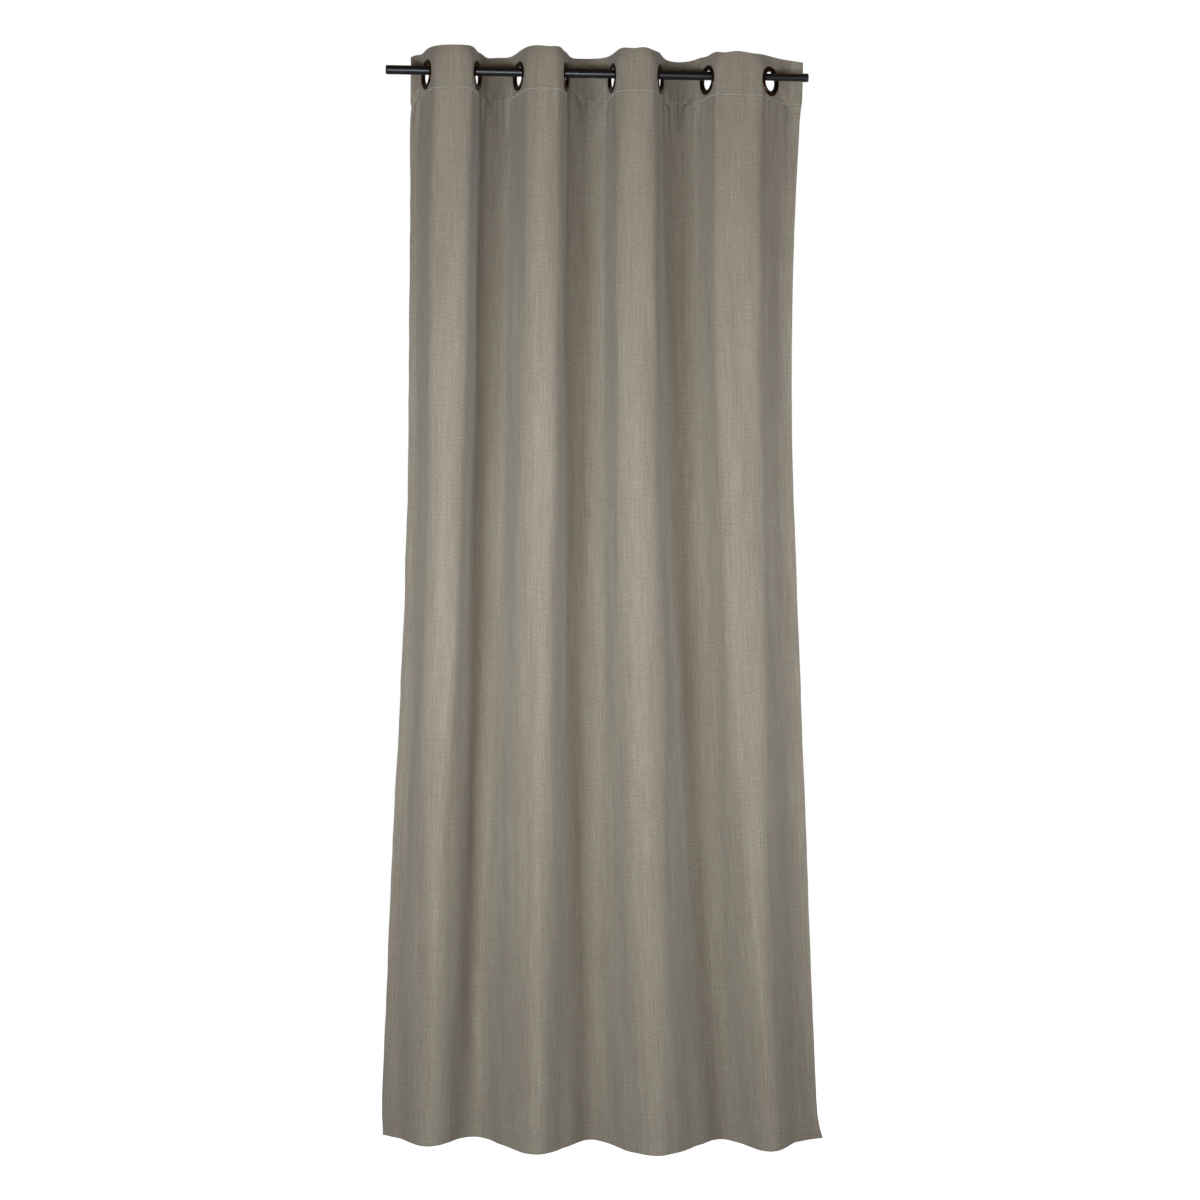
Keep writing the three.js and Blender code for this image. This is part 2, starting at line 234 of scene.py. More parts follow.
@dataclass(frozen=True)
class WovenCloth:
    """Plain-woven linen-look polyester.

    Spun slub yarns of uneven colour give it soft upright streaks and a heathered
    grain; it is matt, with a faint bloom where the fibres catch the light.
    """

    name: str = "linen_look_weave"
    shade: str = "#7b7160"
    mid: str = "#918875"
    light: str = "#a79e8b"
    yarn_mm: float = 1.3  # real yarns are 0.5 mm apart, drawn coarser to show
    slub_mm: float = 90.0
    heather_mm: float = 2.6
    streak_mm: float = 7.0
    cloud_mm: float = 160.0
    roughness: float = 0.86
    sheen: float = 0.22
    sheen_tint: str = "#dfe4ee"

    def weave(self, tree: bpy.types.NodeTree) -> bpy.types.NodeSocket:
        """Cross two sets of yarns over and under.

        Args:
            tree: the node tree.

        Returns:
            The height of the weave, from 0 to 1.
        """
        place = add_node(tree, "ShaderNodeTexCoord")
        waves = []
        for direction in ("X", "Y"):
            wave = add_node(
                tree,
                "ShaderNodeTexWave",
                {
                    "bands_direction": direction,
                    "Scale": 1000 / self.yarn_mm / 20,
                    "Distortion": 1.2,
                    "Detail": 1.0,
                    "Detail Scale": 3.0,
                },
                {"Vector": place.outputs["UV"]},
            )
            waves.append((wave.outputs["Fac"], 0.5))
        return sum_of(tree, waves)

    def material(self) -> bpy.types.Material:
        """Build the cloth's material.

        Returns:
            The material.
        """
        material, tree, output = blank_material(self.name)
        warp = pattern(tree, Surface.CLOTH, (self.yarn_mm * 1.6, self.slub_mm, 1000), 3.0)
        weft = pattern(tree, Surface.CLOTH, (self.slub_mm * 0.5, self.yarn_mm * 1.4, 1000), 3.0)
        heather = pattern(tree, Surface.CLOTH, (self.heather_mm, self.heather_mm * 2, 1000), 3.0)
        cloud = pattern(tree, Surface.CLOTH, (self.cloud_mm * 0.3, self.cloud_mm * 2.4, 1000))
        streak = pattern(tree, Surface.CLOTH, (self.streak_mm, self.streak_mm * 60, 1000))
        tone = sum_of(
            tree, [(warp, 0.27), (weft, 0.17), (heather, 0.36), (streak, 0.1), (cloud, 0.1)]
        )
        colour = ramp(tree, tone, [(0.36, self.shade), (0.5, self.mid), (0.64, self.light)])
        height = sum_of(tree, [(self.weave(tree), 0.45), (warp, 0.3), (weft, 0.25)])
        shader = add_node(
            tree,
            "ShaderNodeBsdfPrincipled",
            {
                "Roughness": self.roughness,
                "Sheen Weight": self.sheen,
                "Sheen Roughness": 0.45,
                "Sheen Tint": linear(self.sheen_tint),
                "Specular IOR Level": 0.25,
            },
            {"Base Color": colour, "Normal": bump(tree, height, 0.6, 0.55)},
        )
        tree.links.new(shader.outputs[0], output.inputs[0])
        return material


@dataclass(frozen=True)
class Finish:
    """A finish of two close tones over a fine grain, for the metals, plastics and threads."""

    name: str
    dark: str
    light: str
    roughness: float
    metallic: float = 0.0
    grain_mm: tuple[float, float, float] = (0.8, 0.8, 0.8)
    grain_depth_mm: float = 0.02
    worn_mm: float = 22.0
    roughness_spread: float = 0.06
    coat: float = 0.0
    sheen: float = 0.0
    surface: Surface = Surface.SOLID

    def material(self) -> bpy.types.Material:
        """Build the finish's material.

        Returns:
            The material.
        """
        material, tree, output = blank_material(self.name)
        grain = pattern(tree, self.surface, self.grain_mm, 3.0)
        wear = pattern(tree, self.surface, (self.worn_mm,) * 3, 3.0)
        tone = sum_of(tree, [(grain, 0.55), (wear, 0.45)])
        colour = ramp(tree, tone, [(0.36, self.dark), (0.66, self.light)])
        rough = add_node(
            tree,
            "ShaderNodeMapRange",
            {
                "From Min": 0.3,
                "From Max": 0.7,
                "To Min": self.roughness - self.roughness_spread,
                "To Max": self.roughness + self.roughness_spread,
            },
            {"Value": tone},
        )
        settings = {
            "Metallic": self.metallic,
            "Coat Weight": self.coat,
            "Coat Roughness": 0.12,
            "Sheen Weight": self.sheen,
        }
        shader = add_node(
            tree,
            "ShaderNodeBsdfPrincipled",
            settings,
            {
                "Base Color": colour,
                "Roughness": rough.outputs[0],
                "Normal": bump(tree, grain, self.grain_depth_mm, 0.5),
            },
        )
        tree.links.new(shader.outputs[0], output.inputs[0])
        return material


# Pressed steel plated dark bronze: nearly black, with a red-brown glint on its rounded edges.
BRONZE_PLATE = Finish(
    "dark_bronze_plating", "#321e17", "#5e3a2b", 0.3, metallic=1.0, grain_mm=(1.5,) * 3,
    grain_depth_mm=0.008, coat=0.25,
)
# Steel tube, powder-coated satin black: a soft long highlight with a very fine orange peel.
BLACK_POWDER = Finish(
    "black_powder_coat", "#0a0a0b", "#141416", 0.36, grain_mm=(0.9,) * 3, grain_depth_mm=0.02, coat=0.15
)
# Moulded black nylon: a little duller than the tube and finely textured.
BLACK_NYLON = Finish("black_nylon", "#101011", "#1d1d1f", 0.44, grain_mm=(0.5,) * 3, grain_depth_mm=0.03)
# Spun polyester sewing thread: a shade lighter than the cloth, with a soft lustre.
SEWING_THREAD = Finish(
    "sewing_thread", "#b9b1a2", "#d8d0c3", 0.6, grain_mm=(0.5, 0.5, 0.5), grain_depth_mm=0.08, sheen=0.3
)
# The same thread dyed to the cloth, for the hems: it only shows as a faint broken line.
HEM_THREAD = Finish(
    "hem_thread", "#8e8578", "#a59c8e", 0.65, grain_mm=(0.5, 0.5, 0.5), grain_depth_mm=0.08, sheen=0.3
)
# Bonded nonwoven tape: off-white felted fibres.
HEADING_TAPE = Finish(
    "nonwoven_tape", "#cfcabf", "#e6e3da", 0.9, grain_mm=(1.0, 6.0, 1.0), grain_depth_mm=0.1,
    surface=Surface.CLOTH,
)
# Satin ribbon: blank, white, with fine ribs across it.
LABEL_RIBBON = Finish(
    "satin_ribbon", "#e4e1da", "#f4f2ee", 0.5, grain_mm=(8.0, 0.6, 1.0), grain_depth_mm=0.06, sheen=0.4,
    surface=Surface.CLOTH,
)


# ---------------------------------------------------------------- mesh helpers


def deselect_all() -> None:
    """Leave nothing selected, in object mode."""
    if bpy.context.object and bpy.context.object.mode != "OBJECT":
        bpy.ops.object.mode_set(mode="OBJECT")
    bpy.ops.object.select_all(action="DESELECT")


def mesh_object(name: str, vertices: np.ndarray, faces: Iterable[Sequence[int]]) -> bpy.types.Object:
    """Make an object from vertices in metres and faces.

    Args:
        name: the object's name.
        vertices: one row of x, y, z for each vertex.
        faces: the vertex numbers of each face.

    Returns:
        The new object, linked to the scene.
    """
    mesh = bpy.data.meshes.new(name)
    mesh.from_pydata([tuple(v) for v in vertices], [], [tuple(int(i) for i in f) for f in faces])
    mesh.update()
    made = bpy.data.objects.new(name, mesh)
    bpy.context.scene.collection.objects.link(made)
    return made


def apply_modifier(piece: bpy.types.Object, kind: str, **settings: Any) -> None:
    """Add a modifier to a piece and apply it.

    Args:
        piece: the piece.
        kind: the modifier's type.
        **settings: the modifier's properties.
    """
    deselect_all()
    piece.select_set(True)
    bpy.context.view_layer.objects.active = piece
    modifier = piece.modifiers.new(kind.lower(), kind)
    for key, value in settings.items():
        setattr(modifier, key, value)
    bpy.ops.object.modifier_apply(modifier=modifier.name)


def shade_smooth(piece: bpy.types.Object, angle_deg: float) -> None:
    """Smooth a piece's shading up to an angle between faces.

    Args:
        piece: the piece.
        angle_deg: edges sharper than this stay sharp.
    """
    deselect_all()
    piece.select_set(True)
    bpy.context.view_layer.objects.active = piece
    bpy.ops.object.shade_smooth_by_angle(angle=math.radians(angle_deg))


def spun(name: str, profile: Sequence[tuple[float, float]], sides: int, closed: bool) -> bpy.types.Object:
    """Turn a round piece about Z, a circle extruded and scaled step by step along its profile.

    Args:
        name: the piece's name.
        profile: radius and height of each step, in millimetres.
        sides: how many sides the circle has.
        closed: True joins the last step to the first, False caps both ends.

    Returns:
        The piece, with its place in its mesh.
    """
    deselect_all()
    radius, height = profile[0]
    bpy.ops.mesh.primitive_circle_add(
        vertices=sides, radius=radius * MM, fill_type="NOTHING", location=(0, 0, height * MM)
    )
    piece = bpy.context.object
    piece.name = piece.data.name = name
    bpy.ops.object.transform_apply(location=True, rotation=True, scale=True)
    bpy.ops.object.mode_set(mode="EDIT")
    bpy.ops.mesh.select_all(action="SELECT")
    for next_radius, next_height in profile[1:]:
        bpy.ops.mesh.extrude_region_move(
            TRANSFORM_OT_translate={"value": (0, 0, (next_height - height) * MM)}
        )
        share = next_radius / radius
        bpy.ops.transform.resize(value=(share, share, 1), center_override=(0, 0, 0))
        radius, height = next_radius, next_height
    bpy.ops.object.mode_set(mode="OBJECT")
    for edge in piece.data.edges:
        edge.select = False
    steps = len(profile)
    ends = set(range(sides)) | set(range(sides * (steps - 1), sides * steps))
    for vertex in piece.data.vertices:
        vertex.select = vertex.index in ends
    for edge in piece.data.edges:
        a, b = edge.vertices
        same_end = a // sides == b // sides and a // sides in (0, steps - 1)
        edge.select = same_end
    bpy.ops.object.mode_set(mode="EDIT")
    bpy.ops.mesh.select_mode(type="EDGE")
    if closed:
        bpy.ops.mesh.bridge_edge_loops()
    else:
        bpy.ops.mesh.edge_face_add()
    bpy.ops.mesh.select_all(action="SELECT")
    bpy.ops.mesh.remove_doubles(threshold=1e-6)
    bpy.ops.mesh.normals_make_consistent(inside=False)
    bpy.ops.object.mode_set(mode="OBJECT")
    return piece


def copy_to(piece: bpy.types.Object, name: str, place: Matrix) -> bpy.types.Object:
    """Copy a piece with its own mesh, moved in the mesh itself.

    Args:
        piece: what is copied.
        name: the copy's name.
        place: where the copy goes.

    Returns:
        The copy.
    """
    made = piece.copy()
    made.data = piece.data.copy()
    made.name = made.data.name = name
    made.data.transform(place)
    bpy.context.scene.collection.objects.link(made)
    return made


def dress(piece: bpy.types.Object, material: bpy.types.Material) -> None:
    """Give a piece its material.

    Args:
        piece: the piece.
        material: its material.
    """
    piece.data.materials.clear()
    piece.data.materials.append(material)


# ---------------------------------------------------------------- how the cloth hangs


@dataclass(frozen=True)
class PanelCut:
    """The panel as it was cut and hemmed, in millimetres."""

    width: float = 1400
    drop: float = 2450
    heading: float = 100
    hem: float = 50
    side_hem: float = 25
    seam_inset: float = 4
    thickness: float = 0.5
    side_turn: float = 0.8
    hem_turn: float = 2.4
    eyelet_from_top: float = 56
    eyelet_from_side: float = 80

    @property
    def flat(self) -> tuple[float, float]:
        """The cut size in metres, turnings included.

        Returns:
            Width and length.
        """
        return (
            (self.width + 2 * self.side_hem) * MM,
            (self.drop + self.heading + self.hem) * MM,
        )


@dataclass(frozen=True)
class FoldPlan:
    """Where the cloth crosses the pole's line, at the heading and at the hem."""

    eyelet_lean: tuple[float, ...] = (68, 77, 68, 80, 76, 75, 66, 50)
    flat_half: float = 35
    hem_flat: float = 8
    hem_share: tuple[float, ...] = (0.095, 0.119, 0.141, 0.131, 0.156, 0.13, 0.109)
    hem_gather: tuple[float, ...] = (0.767, 0.707, 0.695, 0.7, 0.739, 0.681, 0.67)
    hem_depth: tuple[float, ...] = (35, 33, 0, -12, -15, -7, 13, 20)
    hem_lean_gain: float = 1.2
    hem_flare: float = 20
    left_end: tuple[float, float] = (30, 34)
    right_end: tuple[float, float] = (4, 16)
    ease: float = 1.7


@dataclass
class Drape:
    """The cloth's shape: a point for every place on the flat panel."""

    cut: PanelCut
    plan: FoldPlan
    eyelet_x: list[float]
    top_z: float
    u_step: float = 2.0
    rows: int = 120
    grid_u: np.ndarray = field(init=False)
    grid_v: np.ndarray = field(init=False)
    points: np.ndarray = field(init=False)
    normals: np.ndarray = field(init=False)

    def __post_init__(self) -> None:
        """Lay the whole panel out once, on a grid that every piece is placed from."""
        cut = self.cut
        self.grid_u = np.arange(0, cut.width + self.u_step / 2, self.u_step)
        self.grid_v = np.linspace(0, cut.drop, self.rows)
        ease = np.clip((self.grid_v - cut.heading) / (cut.drop - cut.heading), 0, 1) ** self.plan.ease
        crossings = self._crossings(ease)
        self.points = self._relax_top(self._section(crossings, ease))
        along = np.gradient(self.points, axis=1)
        along /= np.linalg.norm(along, axis=2, keepdims=True)
        self.normals = np.stack([-along[..., 1], along[..., 0]], axis=2)

    def _crossings(self, ease: np.ndarray) -> dict[str, np.ndarray]:
        """Work out each row's crossings.

        Args:
            ease: how far each row's folds have changed into the hem's.

        Returns:
            Arrays of one value per row and crossing, by name.
        """
        plan, cut = self.plan, self.cut
        count = len(plan.eyelet_lean)
        pitch = (cut.width - 2 * cut.eyelet_from_side) / (count - 1)
        slack = np.degrees(np.arccos(plan.hem_gather))
        before = np.concatenate([slack[:1], slack])
        after = np.concatenate([slack, slack[-1:]])
        arcs = np.array(plan.hem_share) * cut.width
        spans = arcs * np.array(plan.hem_gather)
        top = {
            "u": cut.eyelet_from_side + pitch * np.arange(count),
            "x": np.array(self.eyelet_x),
            "y": np.zeros(count),
            "lean": np.array(plan.eyelet_lean, float),
            "flat": np.full(count, plan.flat_half),
        }
        low = {
            "u": cut.eyelet_from_side + np.concatenate([[0], np.cumsum(arcs)]),
            "x": self.eyelet_x[0] - plan.hem_flare + np.concatenate([[0], np.cumsum(spans)]),
            "y": np.array(plan.hem_depth, float),
            "lean": plan.hem_lean_gain * (before + after) / 2,
            "flat": np.full(count, plan.hem_flat),
        }
        share = ease[:, None]
        found = {key: top[key] + (low[key] - top[key]) * share for key in top}
        side = np.where(np.arange(count) % 2 == 0, -1.0, 1.0)
        lean = np.radians(found["lean"])
        found["dir"] = np.stack([np.cos(lean), side * np.sin(lean)], axis=2)
        found["at"] = np.stack([found["x"], found["y"]], axis=2)
        return found

    @staticmethod
    def _bezier(ends: np.ndarray, pull: np.ndarray, steps: int) -> np.ndarray:
        """Sample the fold curves.

        Args:
            ends: start, start direction, end direction and end, for each row.
            pull: each row's handle length.
            steps: how many points.

        Returns:
            Points by row and step.
        """
        start, out, back, end = ends
        t = np.linspace(0, 1, steps)[None, :, None]
        h = pull[:, None, None]
        a, d = start[:, None], end[:, None]
        b, c = a + out[:, None] * h, d - back[:, None] * h
        return a * (1 - t) ** 3 + 3 * b * t * (1 - t) ** 2 + 3 * c * t**2 * (1 - t) + d * t**3

    def _fold(self, c: dict[str, np.ndarray], i: int) -> tuple[np.ndarray, np.ndarray]:
        """Draw the fold after crossing i, as long as its cloth.

        Args:
            c: the crossings.
            i: the crossing before the fold.

        Returns:
            The flat distances and the points, by row and step.
        """
        flat_a, flat_b = c["flat"][:, i], c["flat"][:, i + 1]
        start = c["at"][:, i] + c["dir"][:, i] * flat_a[:, None]
        end = c["at"][:, i + 1] - c["dir"][:, i + 1] * flat_b[:, None]
        length = c["u"][:, i + 1] - c["u"][:, i] - flat_a - flat_b
        ends = np.stack([start, c["dir"][:, i], c["dir"][:, i + 1], end])
        low, high = np.zeros_like(length), length.copy()
        for _ in range(26):
            middle = (low + high) / 2
            run = np.linalg.norm(np.diff(self._bezier(ends, middle, 40), axis=1), axis=2).sum(axis=1)
            short = run < length
            low, high = np.where(short, middle, low), np.where(short, high, middle)
        curve = self._bezier(ends, low, 60)
        gone = np.linalg.norm(np.diff(curve, axis=1), axis=2).cumsum(axis=1)
        gone = np.concatenate([np.zeros((len(length), 1)), gone], axis=1)
        first = (c["u"][:, i] + flat_a)[:, None]
        return first + gone / gone[:, -1:] * length[:, None], curve

    def _flap(
        self, c: dict[str, np.ndarray], i: int, way: int, end_lean: np.ndarray
    ) -> tuple[np.ndarray, np.ndarray]:
        """Draw the free edge beyond the first or last crossing.

        Args:
            c: the crossings.
            i: the crossing that it starts from.
            way: -1 towards the left edge, 1 towards the right.
            end_lean: each row's lean at the free edge, in degrees.

        Returns:
            The flat distances and the points, by row and step, away from the crossing.
        """
        steps = 30
        edge = 0 if way < 0 else self.cut.width
        length = np.abs(edge - c["u"][:, i]) - c["flat"][:, i]
        share = (np.arange(steps) + 0.5) / steps
        lean = np.radians(c["lean"][:, i, None] + (end_lean - c["lean"][:, i])[:, None] * share)
        run = (length / steps)[:, None]
        side = np.sign(c["dir"][0, i, 1]) * way
        moves = np.stack([way * run * np.cos(lean), side * run * np.sin(lean)], axis=2)
        start = c["at"][:, i] + way * c["dir"][:, i] * c["flat"][:, i, None]
        curve = np.concatenate([start[:, None], start[:, None] + moves.cumsum(axis=1)], axis=1)
        first = c["u"][:, i] + way * c["flat"][:, i]
        return first[:, None] + way * run * np.arange(steps + 1), curve

    def _section(self, c: dict[str, np.ndarray], ease: np.ndarray) -> np.ndarray:
        """Join each row's flaps and folds and read them at the grid's distances.

        Args:
            c: the crossings.
            ease: how far each row has gone over from the heading's folds to the hem's.

        Returns:
            The plan view's points, by row and column.
        """
        plan, last = self.plan, len(self.plan.eyelet_lean) - 1
        left_lean = plan.left_end[0] + (plan.left_end[1] - plan.left_end[0]) * ease
        right_lean = plan.right_end[0] + (plan.right_end[1] - plan.right_end[0]) * ease
        left_u, left = self._flap(c, 0, -1, left_lean)
        right_u, right = self._flap(c, last, 1, right_lean)
        folds = [self._fold(c, i) for i in range(last)]
        us = np.concatenate([left_u[:, ::-1], *[f[0] for f in folds], right_u], axis=1)
        curve = np.concatenate([left[:, ::-1], *[f[1] for f in folds], right], axis=1)
        read = np.empty((len(us), len(self.grid_u), 2))
        for row in range(len(us)):
            for axis in (0, 1):
                read[row, :, axis] = np.interp(self.grid_u, us[row], curve[row, :, axis])
        return self._soften(read)

    @staticmethod
    def _soften(read: np.ndarray) -> np.ndarray:
        """Round off where straight runs meet curves.

        Args:
            read: the points, by row and column.

        Returns:
            The rounded points.
        """
        kernel = np.array([1, 4, 6, 4, 1]) / 16
        soft = read.copy()
        for _ in range(2):
            padded = np.concatenate(
                [2 * soft[:, :1] - soft[:, 2:0:-1], soft, 2 * soft[:, -1:] - soft[:, -2:-4:-1]], axis=1
            )
            soft = sum(w * padded[:, k : k + soft.shape[1]] for k, w in enumerate(kernel))
        return soft

    def _relax_top(self, points: np.ndarray) -> np.ndarray:
        """Let the free top edge, above the eyelets, round off into a softer wave.

        Args:
            points: the points, by row and column.

        Returns:
            The relaxed points.
        """
        reach = int(64 / self.u_step)
        kernel = np.hanning(2 * reach + 1)
        kernel /= kernel.sum()
        plain = np.stack([self.grid_u, np.zeros_like(self.grid_u)], axis=1)
        relaxed = points.copy()
        for row, v in enumerate(self.grid_v):
            share = 0.85 * np.clip((26 - v) / 26, 0, 1) ** 1.5
            if share == 0:
                break
            gap = points[row] - plain
            padded = np.pad(gap, ((reach, reach), (0, 0)), mode="reflect", reflect_type="odd")
            smooth = np.stack([np.convolve(padded[:, axis], kernel, "valid") for axis in (0, 1)], axis=1)
            relaxed[row] += share * (smooth - gap)
        return relaxed

    def _read(self, grid: np.ndarray, u: np.ndarray, v: np.ndarray) -> np.ndarray:
        """Read a grid of values between its points.

        Args:
            grid: the values, by row and column.
            u: distance from the left edge.
            v: distance from the top edge.

        Returns:
            The value at each place.
        """
        cut = self.cut
        across = np.clip(u / self.u_step, 0, len(self.grid_u) - 1.001)
        down = np.clip(v / cut.drop * (self.rows - 1), 0, self.rows - 1.001)
        i, j = across.astype(int), down.astype(int)
        s, t = (across - i)[..., None], (down - j)[..., None]
        upper = grid[j, i] * (1 - s) + grid[j, i + 1] * s
        lower = grid[j + 1, i] * (1 - s) + grid[j + 1, i + 1] * s
        return upper * (1 - t) + lower * t

    def ripple(self, u: np.ndarray, v: np.ndarray, depth: np.ndarray) -> np.ndarray:
        """How far the cloth strays from its plain folds, towards the back, in millimetres.

        Args:
            u: distance from the left edge.
            v: distance from the top edge.
            depth: how far behind the pole the plain fold stands there.

        Returns:
            The offset at each place.
        """
        cut = self.cut
        rng = np.random.default_rng(11)
        below = np.clip((v - 60) / 260, 0, 1)
        total = np.zeros_like(u)
        for wide, tall, size in RIPPLES:
            for _ in range(3):
                a, b, c, d = rng.uniform(0, 2 * np.pi, 4)
                bend = 1.1 * np.sin(2 * np.pi * v / tall + a) + 0.6 * np.sin(2 * np.pi * v / tall * 2.3 + b)
                fade = 0.55 + 0.45 * np.sin(2 * np.pi * v / (tall * 0.7) + c)
                total += size / 3 * fade * np.sin(2 * np.pi * u / wide + bend + d)
        total *= 0.12 + 0.88 * below
        # the stiff heading ends at the seam, and the softer cloth puckers just below it
        gathered = 0.35 + 0.65 * np.clip((depth - 10) / 40, 0, 1)
        seam = cut.heading - cut.seam_inset
        pucker = np.exp(-(((v - seam - 14) / 42) ** 2)) * gathered
        total += 3.8 * pucker * np.sin(2 * np.pi * u / 27 + 1.7 * np.sin(u / 41))
        total += 2.2 * pucker * np.sin(2 * np.pi * u / 16.3 + 2.1 * np.sin(u / 29))
        total += self._creases(u, v) + self._seams(u, v)
        return total

    def _creases(self, u: np.ndarray, v: np.ndarray) -> np.ndarray:
        """The sharp creases that hang from each eyelet, into the fold behind the pole.

        Args:
            u: distance from the left edge.
            v: distance from the top edge.

        Returns:
            The offset towards the back at each place.
        """
        cut = self.cut
        pitch = (cut.width - 2 * cut.eyelet_from_side) / (len(self.eyelet_x) - 1)
        total = np.zeros_like(u)
        for i in range(len(self.eyelet_x)):
            centre = cut.eyelet_from_side + pitch * i
            way = -1 if i % 2 == 0 else 1
            for k, (start, drift, length, depth) in enumerate(CREASES):
                swing = 1 + 0.3 * math.sin(2.4 * i + 1.7 * k)
                fall = v - (cut.eyelet_from_top + 14)
                path = centre + way * (start * swing + drift * fall)
                shape = np.clip(fall / 26, 0, 1) * np.exp(-np.clip(fall, 0, None) / (length * swing))
                wide = 4.5 + 0.05 * np.clip(fall, 0, 400)
                total += depth * shape * np.exp(-(((u - path) / wide) ** 2))
        return total

    def _seams(self, u: np.ndarray, v: np.ndarray) -> np.ndarray:
        """The grooves that the stitches pull, and the small puckers along the sides.

        Args:
            u: distance from the left edge.
            v: distance from the top edge.

        Returns:
            The offset towards the back at each place.
        """
        cut = self.cut
        total = np.zeros_like(u)
        for line in (cut.heading - cut.seam_inset, cut.drop - cut.hem + cut.seam_inset):
            total += 0.8 * np.exp(-(((v - line) / 1.6) ** 2))
            total -= 0.8 * np.exp(-(((v - line - 1.5) / 6) ** 2))
        side_line = cut.side_hem - cut.seam_inset
        from_side = np.minimum(u, cut.width - u)
        total += 0.5 * np.exp(-(((from_side - side_line) / 1.6) ** 2))
        edge = np.exp(-((from_side / 22) ** 2))
        short = 0.7 * np.sin(v / 19 + 1.3 * np.sin(v / 57))
        long = 1.3 * np.sin(v / 61 + 2 * np.sin(v / 203))
        total += edge * (short + long)
        return total

    def place(self, u: np.ndarray, v: np.ndarray, offset: np.ndarray | float = 0.0) -> np.ndarray:
        """Find points of the hung cloth.

        Args:
            u: distance from the left edge.
            v: distance from the top edge.
            offset: how far behind the face layer.

        Returns:
            x, y, z in metres.
        """
        cut = self.cut
        u, v = np.broadcast_arrays(np.asarray(u, float), np.asarray(v, float))
        base = self._read(self.points, u, v)
        normal = self._read(self.normals, u, v)
        normal = normal / np.linalg.norm(normal, axis=-1, keepdims=True)
        shift = (self.ripple(u, v, base[..., 1]) + offset)[..., None]
        flat = base + normal * shift
        flat = flat + self._corner(u, v)
        lift = 1.5 * np.sin(u / 14 + 2 * np.sin(u / 47)) * np.exp(-v / 14)
        lift = lift + 1.4 * np.sin(u / 47 + 1.5 * np.sin(u / 113)) * np.exp(-(cut.drop - v) / 120)
        z = self.top_z - v + lift
        return np.concatenate([flat, z[..., None]], axis=-1) * MM

    def _corner(self, u: np.ndarray, v: np.ndarray) -> np.ndarray:
        """The stiff doubled corners kick outwards: both at the hem, the right one at the heading.

        Args:
            u: distance from the left edge.
            v: distance from the top edge.

        Returns:
            The shift in x and y at each place, in millimetres.
        """
        cut = self.cut
        low = np.clip((v - (cut.drop - 85)) / 85, 0, 1) ** 2
        right = np.clip((u - (cut.width - 70)) / 70, 0, 1) ** 1.5
        left = np.clip((70 - u) / 70, 0, 1) ** 1.5
        top = np.exp(-((v / cut.heading) ** 8))
        spread = right * np.exp(-((v / 330) ** 2))
        waist = np.clip((u - (cut.width - 170)) / 170, 0, 1) * np.exp(-(((v - 820) / 430) ** 2))
        x = low * (13 * right + 3 * left) + 13 * spread + 4 * top * right - 9 * waist
        x = x + 15 * np.clip((150 - u) / 150, 0, 1) * np.exp(-(((v - 1080) / 680) ** 2))
        y = low * (8 * right - 5 * left) - 6 * top * right
        return np.stack([x, y], axis=-1)


# Width, height and size of the cloth's own slow waves, in millimetres.
RIPPLES = ((150, 1900, 3.2), (83, 1300, 2.2), (47, 900, 1.0), (29, 600, 0.35))

# Each crease: distance from the eyelet's middle, drift per millimetre down, length and depth.
CREASES = ((44, 0.75, 60, 12.0), (84, 0.10, 90, -10.0), (26, 0.30, 100, 6.0))


def turned_edge(s: np.ndarray, gap: float) -> tuple[np.ndarray, np.ndarray]:
    """Roll cloth round a turned edge.

    Args:
        s: distance in from the fold, negative on the turning.
        gap: how far apart the two layers lie.

    Returns:
        The distance in from the edge, and the offset towards the back.
    """
    r = gap / 2
    quarter = np.pi * r / 2
    angle = np.clip(s / r, -np.pi / 2, np.pi / 2)
    inward = np.where(np.abs(s) <= quarter, r - r * np.cos(angle), r + np.abs(s) - quarter)
    return inward, r - r * np.sin(angle)


def graded(start: float, end: float, step: float, fine: Sequence[float] = ()) -> np.ndarray:
    """Space grid lines evenly, with close ones at the places named.

    Args:
        start: the first line.
        end: the last line.
        step: the widest spacing.
        fine: places that get close lines round them.

    Returns:
        The lines in order.
    """
    count = max(1, math.ceil((end - start) / step))
    even = np.linspace(start, end, count + 1)
    close = [place + d for place in fine for d in (-3.4, -1.9, -0.9, 0, 0.9, 1.9, 3.4)]
    close = [c for c in close if start < c < end]
    clear = [e for e in even if all(abs(e - c) > step * 0.3 or e in (start, end) for c in close)]
    return np.unique(np.round(np.array(sorted([*clear, *close])), 4))


# ---------------------------------------------------------------- the panel


